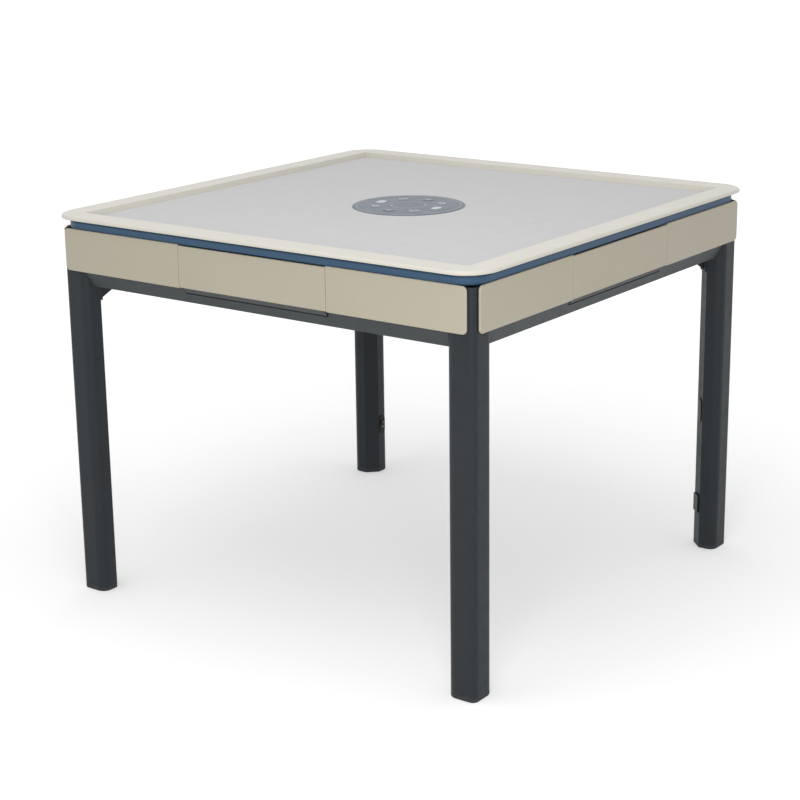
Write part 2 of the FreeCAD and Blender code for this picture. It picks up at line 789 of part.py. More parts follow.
def make_shuffler():
    """The tub under the deck, the turntable with its ring gear, the drive pinion and its motor."""
    tub = fused([tube(tub_radius + tub_wall, tub_radius, (deck_bottom - tub_height, deck_bottom)),
                 tube(tub_radius + tub_wall + tub_flange_width, tub_radius,
                      (deck_bottom - tub_flange_thickness, deck_bottom))])
    hub_bottom = chassis_top + guide_flange_thickness + rest_gap
    plate = rod(tub_radius - turntable_clearance, (turntable_bottom, turntable_top))
    hub = rod(turntable_hub_radius, (hub_bottom, turntable_top))
    ring_points = gear_outline(ring_teeth, ring_module, drive_backlash, math.pi / 2)
    ring = prism([point(x, y, ring_bottom) for x, y in ring_points], point(0, 0, ring_height))
    ring = ring.cut(rod(ring_pitch - ring_band, (ring_bottom, turntable_bottom)))
    parts = [plate, hub, ring]
    for count in range(turntable_ribs):
        rib = block((turntable_rib_start, turntable_rib_end),
                    (-turntable_rib_width / 2, turntable_rib_width / 2),
                    (turntable_top, turntable_top + turntable_rib_height))
        rib.rotate(origin, up, 360.0 * count / turntable_ribs)
        parts.append(rib)
    bore = rod(guide_radius + running_fit, (hub_bottom, turntable_top))
    turntable = fused(parts).cut(bore)
    drive_points = gear_outline(drive_teeth, ring_module, drive_backlash,
                                -math.pi / 2 + math.pi / drive_teeth)
    drive_bottom = ring_bottom + (ring_height - drive_width) / 2
    gear = prism([point(x, drive_offset + y, drive_bottom) for x, y in drive_points],
                 point(0, 0, drive_width))
    shaft = rod(drive_shaft_radius, (chassis_bottom + rest_gap, drive_bottom), 0, drive_offset)
    motor = rod(shuffle_motor_radius, (floor_level, chassis_bottom), 0, drive_offset)
    return {"shuffle_tub": [tub], "turntable": [turntable],
            "shuffle_pinion": [fused([gear, shaft])], "shuffle_motor": [motor]}


def make_console_lift():
    """The chassis plate, the column's guide, the lift screw and the motor under it."""
    half_length = drive_offset + shuffle_motor_radius + chassis_margin
    half_width = beam_offset + beam_width / 2 + chassis_margin
    plate = block((-half_width, half_width), (-half_length, half_length), (chassis_bottom, chassis_top))
    plate = plate.cut(rod(guide_radius, (chassis_bottom, chassis_top)))
    plate = plate.cut(rod(drive_shaft_radius + running_fit, (chassis_bottom, chassis_top), 0, drive_offset))
    guide_bottom = floor_level + console_motor_height + rest_gap
    guide = fused([rod(guide_radius, (guide_bottom, guide_top)),
                   rod(guide_flange_radius, (chassis_top, chassis_top + guide_flange_thickness))])
    guide = guide.cut(rod(column_radius + running_fit, (guide_bottom, guide_top)))
    screw = rod(screw_radius, (screw_bottom, console_hub_bottom - screw_top_gap))
    motor = rod(console_motor_radius, (floor_level, floor_level + console_motor_height))
    return {"chassis_plate": [plate], "column_guide": [guide], "lift_screw": [screw],
            "console_motor": [motor]}


def key_places():
    """The turn of each key about the console's middle, in degrees."""
    return [360.0 * count / key_count for count in range(key_count)]


def key_block(growth, z_range):
    """One key's outline as a block, or its pocket when it is grown by a clearance."""
    sizes = (key_width + 2 * growth, key_length + 2 * growth, z_range[1] - z_range[0])
    return rounded_box(sizes, key_round + growth, point(key_ring_radius, 0, z_range[0]))


def make_console():
    """The console disc with its column, its keys, its window and the dice under the window."""
    disc = rod(console_radius, (console_bottom, console_top))
    rim_edges = [edge for edge in disc.Edges if edge.BoundBox.ZMin > console_top - tiny]
    disc = disc.makeFillet(console_edge_round, rim_edges)
    hub = rod(console_hub_radius, (console_hub_bottom, console_bottom))
    column = rod(column_radius, (column_bottom, console_hub_bottom))
    body = fused([disc, hub, column])
    window_bottom = console_top - window_thickness
    body = body.cut(rod(window_radius, (window_bottom, console_top)))
    body = body.cut(rod(dice_well_radius, (dice_floor, window_bottom)))
    nut_top = column_bottom + column_nut_height
    body = body.cut(rod(column_bore, (nut_top, console_hub_bottom - screw_top_gap / 2)))
    body = body.cut(rod(screw_radius + screw_clearance, (column_bottom, nut_top)))
    pocket = key_block(key_clearance, (key_bottom - key_travel - key_floor_gap, console_top))
    key = key_block(0, (key_bottom, key_top))
    top_edges = [edge for edge in key.Edges if edge.BoundBox.ZMin > key_top - tiny]
    key = key.makeFillet(key_edge_round, top_edges)
    pieces = {}
    for number, angle in enumerate(key_places(), 1):
        hole = pocket.copy()
        hole.rotate(origin, up, angle)
        body = body.cut(hole)
        cap = key.copy()
        cap.rotate(origin, up, angle)
        pieces["console_key_%d" % number] = [cap]
    pieces["console_disc"] = [body]
    pieces["dice_window"] = [rod(window_radius, (window_bottom, console_top))]
    dice = []
    for side in (-1, 1):
        die = block((-dice_size / 2, dice_size / 2), (-dice_size / 2, dice_size / 2), (0, dice_size))
        die = die.makeFillet(dice_round, die.Edges)
        die.rotate(origin, up, dice_turn * side)
        die.translate(point(side * dice_spacing / 2, 0, dice_floor))
        dice.append(die)
    pieces["dice"] = dice
    return pieces


def make_leg_fittings():
    """The gland box and oval plug on the back right leg, and the switch on the back left leg."""
    width, height, proud = gland_box
    box = block((-width / 2, width / 2), (0, proud), (-height / 2, height / 2))
    side_edges = [edge for edge in box.Edges if edge.BoundBox.YLength > proud / 2]
    box = box.makeFillet(gland_round, side_edges)
    gland = on_chamfer(fused([box, gland_neck()]), gland_height)
    plug_head = oval_bar(plug_oval[0], plug_oval[1], plug_proud)
    plug = on_chamfer(fused([plug_head, oval_neck(plug_oval, plug_neck)]), plug_height)
    bezel = fused([oval_bar(switch_oval[0], switch_oval[1], switch_proud),
                   oval_neck(switch_oval, rocker_depth)])
    half_height = rocker_size[1] / 2
    rise = half_height * math.tan(math.radians(rocker_tilt))
    middle = switch_proud + rocker_proud
    room = (rocker_size[0] / 2 + rocker_clearance,
            math.hypot(half_height, middle + rise / 2) + rocker_clearance)
    bezel = bezel.cut(block((-room[0], room[0]), (-rocker_depth, switch_proud), (-room[1], room[1])))
    rocker_outline = [(-half_height, middle - rise), (0, middle), (half_height, middle + rise / 2),
                      (half_height, 0), (0, -rise), (-half_height, -rise)]
    rocker = prism([point(-rocker_size[0] / 2, out, up_by) for up_by, out in rocker_outline],
                   point(rocker_size[0], 0, 0))
    return {"mains_gland": [gland], "leg_plug": [plug], "switch_bezel": [on_switch_face(bezel)],
            "switch_rocker": [on_switch_face(rocker)]}


def make_boards():
    """The power supply and the control board in the two back corner bays, beside the legs."""
    length, width, height = supply_size
    bay_end = leg_inner - corner_bay_gap
    supply = block((bay_end - length, bay_end), (bay_end - width, bay_end),
                   (floor_level, floor_level + height))
    length, width, thickness = board_size
    board_low = floor_level + board_standoff
    board_top = board_low + thickness
    middle = (length / 2 - bay_end, bay_end - width / 2)
    pieces = [block((-bay_end, length - bay_end), (bay_end - width, bay_end), (board_low, board_top))]
    for sx in (-1, 1):
        for sy in (-1, 1):
            pieces.append(rod(board_standoff / 2, (floor_level, board_low),
                              middle[0] + sx * (length / 2 - board_standoff),
                              middle[1] + sy * (width / 2 - board_standoff)))
    pieces.append(block((middle[0] - chip_size / 2, middle[0] + chip_size / 2),
                        (middle[1] - chip_size / 2, middle[1] + chip_size / 2),
                        (board_top, board_top + chip_height)))
    return {"power_supply": [supply], "control_board": [fused(pieces)]}


def write_parts():
    """Writes one file per node, with several solids where like pieces share a node."""
    os.makedirs("parts", exist_ok=True)
    makers = (make_legs, make_foot_caps, make_corner_brackets, make_frame, make_side_panels, make_rim,
              make_trim, make_surface, make_bottom_cover, make_drawers, make_lifts, make_shuffler,
              make_console_lift, make_console, make_leg_fittings, make_boards)
    count = 0
    for maker in makers:
        for name, shapes in maker().items():
            group = shapes if isinstance(shapes, list) else [shapes]
            solids = [solid for shape in group for solid in shape.Solids]
            whole = solids[0] if len(solids) == 1 else Part.makeCompound(solids)
            if not whole.isValid():
                raise ValueError("bad solid in " + name)
            whole.exportStep("parts/" + name + ".step")
            count += 1
    print("nodes written:", count)


write_parts()
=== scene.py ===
"""Automatic mahjong table: cloth, console pieces, finishes and studio, built round its fixed frame."""
import math

import bpy
from bpy.props import FloatProperty, FloatVectorProperty, PointerProperty
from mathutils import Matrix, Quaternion, Vector


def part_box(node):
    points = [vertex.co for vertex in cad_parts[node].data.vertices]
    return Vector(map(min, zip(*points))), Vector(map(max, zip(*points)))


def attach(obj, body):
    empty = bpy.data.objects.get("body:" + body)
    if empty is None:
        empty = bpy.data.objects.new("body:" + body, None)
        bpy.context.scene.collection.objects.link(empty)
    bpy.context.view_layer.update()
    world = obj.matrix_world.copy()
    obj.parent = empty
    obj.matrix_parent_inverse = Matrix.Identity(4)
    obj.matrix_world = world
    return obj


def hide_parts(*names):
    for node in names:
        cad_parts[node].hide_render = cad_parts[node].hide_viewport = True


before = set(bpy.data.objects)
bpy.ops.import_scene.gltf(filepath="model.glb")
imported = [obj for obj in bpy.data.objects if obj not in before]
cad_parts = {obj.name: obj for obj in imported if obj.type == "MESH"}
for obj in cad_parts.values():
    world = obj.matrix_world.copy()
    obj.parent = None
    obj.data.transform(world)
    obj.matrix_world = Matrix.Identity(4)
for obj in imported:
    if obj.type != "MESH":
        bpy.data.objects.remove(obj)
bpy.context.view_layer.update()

bl_info = {
    "name": "Automatic Mahjong Table",
    "version": (1, 0, 0),
    "blender": (4, 5, 0),
    "location": "View3D > Sidebar > Table",
    "description": "Models a mahjong table's cloth, console pieces and marks and finishes its surfaces",
    "category": "Object",
}

SIDES = ("front", "right", "back", "left")
KEY_COUNT = 8
# The kinds of mark repeat going round the console from the first key.
KEY_KINDS = ("arrow", "dots", "bars", "dots")
KEY_SLOTS = {"arrow": "key_white", "dots": "key_grey", "bars": "key_slate"}
# The dots of the left and the right die, in steps of the pip pitch from its middle.
DICE_PIPS = {-1: ((-1, -1), (-1, 1), (0, 0), (1, -1), (1, 1)), 1: ((-1, -1), (0, 0), (1, 1))}
# Steps in a full round, in a rounded edge or corner, and cuts along a strip.
ROUND_STEPS = 160
DOT_STEPS = 20
PIP_STEPS = 16
FELT_EDGE_STEPS = 2
KEY_CORNER_STEPS = 6
KEY_EDGE_STEPS = 3
LINE_CORNER_STEPS = 3
STRIP_CUTS = 3
# Angles in degrees.
SHARP_ANGLE = 60.0
SMOOTH_ANGLE = 35.0
FELT_SMOOTH_ANGLE = 15.0
# The least part of a unit direction along an axis that counts as lying along it.
ALONG_AXIS = 0.9
MERGE_GAP = 1e-7
# Nearly all values of a noise lie between these.
NOISE_LOW = 0.3
NOISE_HIGH = 0.7
WHITE = (1.0, 1.0, 1.0, 1.0)
CLOTH_LOW, CLOTH_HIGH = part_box("playing_cloth")
DISC_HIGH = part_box("console_disc")[1]
WINDOW_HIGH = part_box("dice_window")[1]
KEY_LOW, KEY_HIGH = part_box("console_key_1")
DICE_LOW, DICE_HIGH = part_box("dice")
ROCKER_LOW, ROCKER_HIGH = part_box("switch_rocker")


def linear(red, green, blue):
    """A screen colour, from 0 to 255, in the linear values that shaders take, by the sRGB curve."""
    shares = [value / 255 for value in (red, green, blue)]
    return tuple(v / 12.92 if v <= 0.04045 else ((v + 0.055) / 1.055) ** 2.4 for v in shares)


def colour(name, words, red, green, blue):
    """A colour property."""
    return FloatVectorProperty(name=name, description=words, subtype="COLOR", size=3, min=0.0, max=1.0,
                               default=linear(red, green, blue))


def length(name, words, metres):
    """A length property."""
    return FloatProperty(name=name, description=words, unit="LENGTH", precision=5, default=metres)


def point(name, words, x, y, z):
    """A property for a place in the room."""
    return FloatVectorProperty(name=name, description=words, subtype="XYZ", unit="LENGTH",
                               default=(x, y, z))


def angle(name, words, degrees):
    """A property for a turn."""
    return FloatProperty(name=name, description=words, subtype="ANGLE", default=math.radians(degrees))


def power(name, words, watts):
    """A property for a lamp's power."""
    return FloatProperty(name=name, description=words, subtype="POWER", default=watts)


def share(name, words, value):
    """A property for a plain ratio."""
    return FloatProperty(name=name, description=words, precision=4, default=value)


class TableColours(bpy.types.PropertyGroup):
    """The colours of the surfaces that show."""
    rim: colour("Rim", "Cream of the moulded rim", 221, 218, 206)
    panel: colour("Panels", "Champagne beige of the panels and drawer fronts", 188, 180, 161)
    trim: colour("Trim", "Steel blue of the trim under the rim", 64, 92, 119)
    slate: colour("Legs", "Dark slate of the legs and brackets", 44, 49, 53)
    cover: colour("Bottom cover", "Slate of the skirt and bottom cover", 50, 57, 59)
    cloth: colour("Cloth", "Light grey of the playing cloth", 212, 211, 212)
    console: colour("Console", "Slate blue of the console disc", 96, 105, 118)
    ring: colour("Console rings", "Pale grey of the rings on the console", 180, 187, 194)
    key_white: colour("White keys", "The two bright keys", 216, 219, 221)
    key_grey: colour("Grey keys", "The four grey keys", 150, 157, 163)
    key_slate: colour("Slate keys", "The two dim keys", 114, 124, 135)
    mark: colour("Key marks", "Grey marks on the keys", 110, 120, 130)
    window: colour("Window", "Smoked cover over the dice", 88, 99, 116)
    dice: colour("Dice", "Ivory of the dice", 238, 234, 222)
    foot: colour("Foot caps", "Dark rubber of the foot caps", 46, 49, 52)
    fitting: colour("Fittings", "Black of the switch, plug and gland", 12, 13, 14)


class MachineColours(bpy.types.PropertyGroup):
    """The colours of the machine inside."""
    deck: colour("Deck", "Fibre board under the cloth", 176, 150, 116)
    tray: colour("Trays", "Dark plastic of the drawer trays", 62, 66, 69)
    lift: colour("Lifts", "Grey plastic of the tile lifts", 184, 184, 184)
    tub: colour("Tub", "Grey plastic of the shuffle tub and turntable", 120, 123, 126)
    gear: colour("Gears", "Natural nylon of the pinions", 232, 230, 218)
    steel: colour("Steel", "Bright steel of screws, runners and guides", 176, 178, 180)
    primer: colour("Primer", "Grey primer on the rails and chassis", 96, 99, 102)
    motor: colour("Motors", "Dark paint on the motor cans", 52, 54, 57)
    board: colour("Board", "Green of the control board", 38, 92, 62)
    supply: colour("Supply", "Plated case of the power supply", 170, 172, 174)


class TableSizes(bpy.types.PropertyGroup):
    """The sizes of the pieces that are modelled here."""
    cloth_thickness: length("Cloth thickness", "Felt from deck to nap", 0.001)
    cloth_edge: length("Cloth edge", "How far a cut felt edge is rounded", 0.0004)
    slot_gap: length("Slot gap", "Gap between a lift and the cloth round it", 0.0004)
    strip_overhang: length("Strip overhang", "How far a lift's felt strip reaches past its plate", 0.0002)
    hole_gap: length("Hole gap", "Gap between the console and the cloth round it", 0.0004)
    ring_height: length("Ring height", "How far a console ring stands proud", 0.0002)
    outer_ring_inset: length("Outer ring inset", "From the console's edge to its outer ring", 0.0075)
    outer_ring_width: length("Outer ring width", "Width of the outer ring", 0.0009)
    window_ring_width: length("Window ring width", "Width of the ring round the window", 0.0013)
    key_corner: length("Key corner", "Corner radius of a key", 0.004)
    key_edge: length("Key edge", "Round of a key's top edge", 0.0006)
    key_border: length("Key border", "Flat border round a key's dish", 0.0018)
    key_dish: length("Key dish", "Depth of a key's dish", 0.0003)
    mark_height: length("Mark height", "How far a printed mark stands proud", 0.00012)
    arrow_radius: length("Arrow radius", "From the middle of an arrow to its tip", 0.0028)
    mark_pitch: length("Mark pitch", "From one dot or bar of a pair to the other", 0.0047)
    bar_length: length("Bar length", "Length of a bar on a key", 0.0066)
    bar_width: length("Bar width", "Width of a bar on a key", 0.0016)
    dot_radius: length("Dot radius", "Radius of a dot on a key", 0.0012)
    pip_radius: length("Pip radius", "Radius of a dot on a die", 0.0011)
    pip_pitch: length("Pip pitch", "From the middle dot of a die to the next, along a side", 0.0035)
    die_offset: length("Die offset", "From the window's middle to the middle of a die", 0.0105)
    die_turn: angle("Die turn", "How far each die is turned", 25.0)
    switch_mark_depth: length("Switch mark depth", "How deep the switch's marks reach into it", 0.0006)
    switch_line_width: length("Switch line width", "Width of the line and the ring on the switch", 0.0008)
    switch_low_sink: length("Switch low sink", "How far its lower half lies behind its front", 0.0015)


class StageSettings(bpy.types.PropertyGroup):
    """Camera, lamps and floor."""
    azimuth: angle("Azimuth", "Camera's turn round the table", 36.497)
    elevation: angle("Elevation", "Camera's height as an angle", 15.415)
    roll: angle("Roll", "Camera's turn about its own axis", -0.775)
    distance: length("Distance", "From the camera to its target", 3.65)
    target: point("Target", "Point that the camera looks at", 0.0118, -0.052, 0.4285)
    lens: share("Lens", "Focal length in millimetres", 83.246)
    sensor: share("Sensor", "Sensor width in millimetres", 36.0)
    shift: share("Shift", "Vertical shift that frames the table", -0.0375)
    lamp_aim: point("Lamp aim", "Point that the lamps look at", 0.0, -0.1, 0.6)
    corner_place: point("Corner lamp", "Soft lamp before the near corner", 1.3, -1.9, 1.3)
    corner_size: length("Corner lamp size", "Side of the corner lamp", 0.9)
    corner_power: power("Corner lamp power", "Power of the corner lamp", 14.0)
    top_place: point("Top lamp", "Wide lamp above the table", 0.1, -0.9, 3.0)
    top_size: length("Top lamp size", "Side of the top lamp", 2.0)
    top_power: power("Top lamp power", "Power of the top lamp", 16.0)
    sky: share("Sky", "Strength of the even light from all round", 0.58)
    floor: colour("Floor", "Pale floor", 236, 236, 236)
    floor_size: length("Floor size", "Side of the floor", 60.0)
    glow_near: share("Near glow", "How far the floor is lightened in view, under the table", 0.36)
    glow_far: share("Far glow", "How far the floor is lightened in view, further out", 0.62)
    glow_start: length("Glow start", "Where the near glow ends", 0.6)
    glow_end: length("Glow end", "Where the far glow begins", 3.5)


def deselect():
    """Object mode with nothing selected."""
    if bpy.context.object and bpy.context.object.mode != "OBJECT":
        bpy.ops.object.mode_set(mode="OBJECT")
    bpy.ops.object.select_all(action="DESELECT")


def select_only(piece):
    """Selects one piece alone, as the active one."""
    deselect()
    piece.select_set(True)
    bpy.context.view_layer.objects.active = piece


def named(name):
    """The new primitive, under its own name."""
    piece = bpy.context.object
    piece.name = name
    piece.data.name = name
    return piece


def place_applied(piece):
    """Moves a piece's place, turn and scale into its mesh."""
    select_only(piece)
    bpy.ops.object.transform_apply(location=True, rotation=True, scale=True)


def edit(piece, mode="FACE", select=None):
    """Edit mode on one piece, with all of it selected, or the faces or edges that a test picks.

    The test takes a face's centre and normal, or an edge's centre and direction.
    """
    select_only(piece)
    bpy.ops.object.mode_set(mode="EDIT")
    bpy.ops.mesh.select_mode(type=mode)
    bpy.ops.mesh.select_all(action="SELECT" if select is None else "DESELECT")
    if select is None:
        return
    bpy.ops.object.mode_set(mode="OBJECT")
    mesh = piece.data
    if mode == "FACE":
        for face in mesh.polygons:
            face.select = select(face.center, face.normal)
    else:
        for line in mesh.edges:
            first, last = (mesh.vertices[index].co for index in line.vertices)
            line.select = select((first + last) / 2, (last - first).normalized())
    bpy.ops.object.mode_set(mode="EDIT")


def apply_modifiers(piece):
    """Applies a piece's modifiers in order."""
    select_only(piece)
    for modifier in list(piece.modifiers):
        bpy.ops.object.modifier_apply(modifier=modifier.name)


def outward(piece, degrees=SMOOTH_ANGLE):
    """Merges doubles, turns all faces outwards and shades edges under an angle smooth."""
    edit(piece)
    bpy.ops.mesh.remove_doubles(threshold=MERGE_GAP)
    bpy.ops.mesh.normals_make_consistent(inside=False)
    bpy.ops.object.mode_set(mode="OBJECT")
    bpy.ops.object.shade_smooth_by_angle(angle=math.radians(degrees))


def joined(pieces, name):
    """Several pieces as one."""
    deselect()
    for piece in pieces:
        piece.select_set(True)
    bpy.context.view_layer.objects.active = pieces[0]
    bpy.ops.object.join()
    return named(name)


def copied(piece, name, turn=0.0, move=(0, 0, 0)):
    """A copy of a piece with its own mesh, turned about the table's middle or moved."""
    copy = piece.copy()
    copy.data = piece.data.copy()
    bpy.context.scene.collection.objects.link(copy)
    copy.name = name
    copy.data.name = name
    copy.rotation_euler.z = turn
    copy.location = move
    place_applied(copy)
    return copy


def dressed(piece, material, body):
    """Gives a piece its material and body."""
    piece.data.materials.clear()
    piece.data.materials.append(material)
    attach(piece, body)


class Finish:
    """A procedural material under construction, on Object coordinates."""

    def __init__(self, name, base, roughness, metallic=0.0):
        self.material = bpy.data.materials.new(name)
        self.material.use_nodes = True
        self.tree = self.material.node_tree
        self.shader = self.tree.nodes["Principled BSDF"]
        self.shader.inputs["Metallic"].default_value = metallic
        self.shader.inputs["Roughness"].default_value = roughness
        self.base = tuple(base)
        self.roughness = roughness
        self.place = self.tree.nodes.new("ShaderNodeTexCoord").outputs["Object"]
        self.shader.inputs["Base Color"].default_value = (*self.base, 1.0)

    def link(self, source, target):
        """Links two sockets."""
        self.tree.links.new(source, target)

    def stretched(self, scale):
        """Object coordinates scaled along each axis."""
        mapping = self.tree.nodes.new("ShaderNodeMapping")
        mapping.inputs["Scale"].default_value = scale
        self.link(self.place, mapping.inputs["Vector"])
        return mapping.outputs["Vector"]

    def noise(self, scale, detail=3.0, rough=0.55, stretch=(1, 1, 1)):
        """A noise with features of about 1 / scale metres."""
        noise = self.tree.nodes.new("ShaderNodeTexNoise")
        noise.inputs["Scale"].default_value = scale
        noise.inputs["Detail"].default_value = detail
        noise.inputs["Roughness"].default_value = rough
        self.link(self.stretched(stretch), noise.inputs["Vector"])
        return noise.outputs["Fac"]

    def ranged(self, value, low, high, start=NOISE_LOW, end=NOISE_HIGH):
        """A value mapped to a range."""
        node = self.tree.nodes.new("ShaderNodeMapRange")
        node.inputs["From Min"].default_value = start
        node.inputs["From Max"].default_value = end
        node.inputs["To Min"].default_value = low
        node.inputs["To Max"].default_value = high
        self.link(value, node.inputs["Value"])
        return node.outputs["Result"]

    def mixed(self, first, second, amount):
        """Two values mixed, with an amount of the second from 0 to 1."""
        node = self.tree.nodes.new("ShaderNodeMix")
        node.inputs["Factor"].default_value = amount
        self.link(first, node.inputs["A"])
        self.link(second, node.inputs["B"])
        return node.outputs["Result"]

    def shaded(self, value, spread):
        """Colour that varies round the base by a share, darker to lighter."""
        ramp = self.tree.nodes.new("ShaderNodeValToRGB")
        ramp.color_ramp.elements[0].position = NOISE_LOW
        ramp.color_ramp.elements[1].position = NOISE_HIGH
        for element, factor in zip(ramp.color_ramp.elements, (1 - spread, 1 + spread)):
            element.color = (*(min(1.0, part * factor) for part in self.base), 1.0)
        self.link(value, ramp.inputs["Fac"])
        self.link(ramp.outputs["Color"], self.shader.inputs["Base Color"])

    def worn(self, value, spread):
        """Roughness that varies round its level."""
        self.link(self.ranged(value, self.roughness - spread, self.roughness + spread),
                  self.shader.inputs["Roughness"])

    def bumped(self, value, depth, strength=1.0):
        """Relief of a depth in metres."""
        bump = self.tree.nodes.new("ShaderNodeBump")
        bump.inputs["Strength"].default_value = strength
        bump.inputs["Distance"].default_value = depth
        self.link(value, bump.inputs["Height"])
        self.link(bump.outputs["Normal"], self.shader.inputs["Normal"])

    def set(self, **sockets):
        """Constant values on the shader's own sockets."""
        for name, value in sockets.items():
            self.shader.inputs[name.replace("_", " ")].default_value = value
        return self


def moulded_plastic(name, base, roughness, **sockets):
    """Satin moulded plastic with a fine spark-eroded grain."""
    finish = Finish(name, base, roughness)
    finish.shaded(finish.noise(scale=9.0), spread=0.018)
    finish.worn(finish.noise(scale=38.0), spread=0.05)
    finish.bumped(finish.noise(scale=1400.0, detail=2.0), depth=0.00004, strength=0.35)
    return finish.set(**sockets).material


def rim_plastic(base):
    """Cream rim: satin, with a faint lustre over it."""
    return moulded_plastic("cream rim", base, roughness=0.42, Coat_Weight=0.12, Coat_Roughness=0.25)


def panel_lacquer(base):
    """Champagne lacquer with a very fine metal flake."""
    finish = Finish("champagne panel", base, roughness=0.46)
    flake = finish.noise(scale=2600.0, detail=1.0)
    finish.shaded(finish.noise(scale=5.0, detail=4.0), spread=0.022)
    finish.worn(flake, spread=0.06)
    finish.bumped(finish.noise(scale=420.0, detail=2.0), depth=0.00003, strength=0.25)
    return finish.set(Coat_Weight=0.1, Coat_Roughness=0.3).material


def brushed_trim(base):
    """Anodised aluminium, brushed along the strip."""
    finish = Finish("blue anodised trim", base, roughness=0.42, metallic=0.2)
    brush = finish.noise(scale=1.0, detail=4.0, rough=0.6, stretch=(14.0, 14.0, 5200.0))
    finish.shaded(brush, spread=0.07)
    finish.worn(brush, spread=0.07)
    finish.bumped(brush, depth=0.00002, strength=0.3)
    return finish.set(Specular_IOR_Level=0.25).material


def powder_coat(name, base, roughness):
    """Powder-coated metal with a fine orange peel."""
    finish = Finish(name, base, roughness)
    finish.shaded(finish.noise(scale=14.0), spread=0.05)
    finish.worn(finish.noise(scale=60.0), spread=0.05)
    finish.bumped(finish.noise(scale=900.0, detail=2.0), depth=0.00006, strength=0.4)
    return finish.set(Specular_IOR_Level=0.22).material


def felt(base):
    """Short-napped felt: fine fibres, soft blotches and a sheen."""
    finish = Finish("grey felt", base, roughness=0.95)
    blotches = finish.noise(scale=26.0, detail=5.0, rough=0.6)
    fibre = finish.noise(scale=1100.0, detail=6.0, rough=0.8)
    finish.shaded(finish.mixed(blotches, fibre, amount=0.75), spread=0.06)
    finish.bumped(fibre, depth=0.0003, strength=0.6)
    return finish.set(Sheen_Weight=0.25, Sheen_Roughness=0.5, Specular_IOR_Level=0.15).material


def gloss_key(name, base):
    """Glossy plastic of the keys, marks, rings and dice."""
    finish = Finish(name, base, roughness=0.3)
    finish.shaded(finish.noise(scale=160.0), spread=0.015)
    finish.worn(finish.noise(scale=300.0), spread=0.04)
    return finish.set(Coat_Weight=0.1, Coat_Roughness=0.1, Specular_IOR_Level=0.25).material


def smoked_window(base):
    """Smoked cover over the dice, which lets a little light through."""
    finish = Finish("smoked window", base, roughness=0.3)
    finish.worn(finish.noise(scale=90.0), spread=0.03)
    return finish.set(Transmission_Weight=0.08, IOR=1.49, Specular_IOR_Level=0.15).material


def plain_steel(name, base, roughness):
    """Drawn steel with fine lines."""
    finish = Finish(name, base, roughness, metallic=0.95)
    lines = finish.noise(scale=1.0, detail=3.0, rough=0.6, stretch=(60.0, 60.0, 2400.0))
    finish.shaded(lines, spread=0.06)
    finish.worn(lines, spread=0.08)
    finish.bumped(lines, depth=0.00002, strength=0.25)
    return finish.material


def deck_wood(base):
    """Plain fibre board."""
    finish = Finish("deck board", base, roughness=0.7)
    grain = finish.noise(scale=1.0, detail=5.0, rough=0.6, stretch=(40.0, 260.0, 40.0))
    finish.shaded(grain, spread=0.12)
    finish.bumped(grain, depth=0.0001, strength=0.3)
    return finish.material


def rubber(base):
    """Matt rubber of the foot caps."""
    finish = Finish("foot rubber", base, roughness=0.72)
    finish.shaded(finish.noise(scale=30.0), spread=0.08)
    finish.bumped(finish.noise(scale=700.0), depth=0.00008, strength=0.4)
    return finish.material


def felt_sheet(name, low, high):
    """A flat felt sheet between two corners, with its underside at the lower one."""
    deselect()
    middle = (low + high) / 2
    bpy.ops.mesh.primitive_plane_add(size=1.0, location=(middle.x, middle.y, low.z))
    sheet = named(name)
    sheet.scale = (high.x - low.x, high.y - low.y, 1.0)
    place_applied(sheet)
    return sheet


def thicken_felt(sheet, sizes):
    """Gives a flat felt sheet its thickness."""
    wall = sheet.modifiers.new("felt", "SOLIDIFY")
    wall.thickness = sizes.cloth_thickness
    wall.offset = 1.0


def round_edges(piece, width, segments):
    """Rounds a piece's sharp edges."""
    edge = piece.modifiers.new("round edge", "BEVEL")
    edge.width = width
    edge.segments = segments
    edge.limit_method = "ANGLE"
    edge.angle_limit = math.radians(SHARP_ANGLE)


def lift_box(side):
    """The plate of a tile lift: its lowest and highest corner, with both at the plate's top."""
    low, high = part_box("tile_lift_" + side)
    return Vector((low.x, low.y, high.z)), high


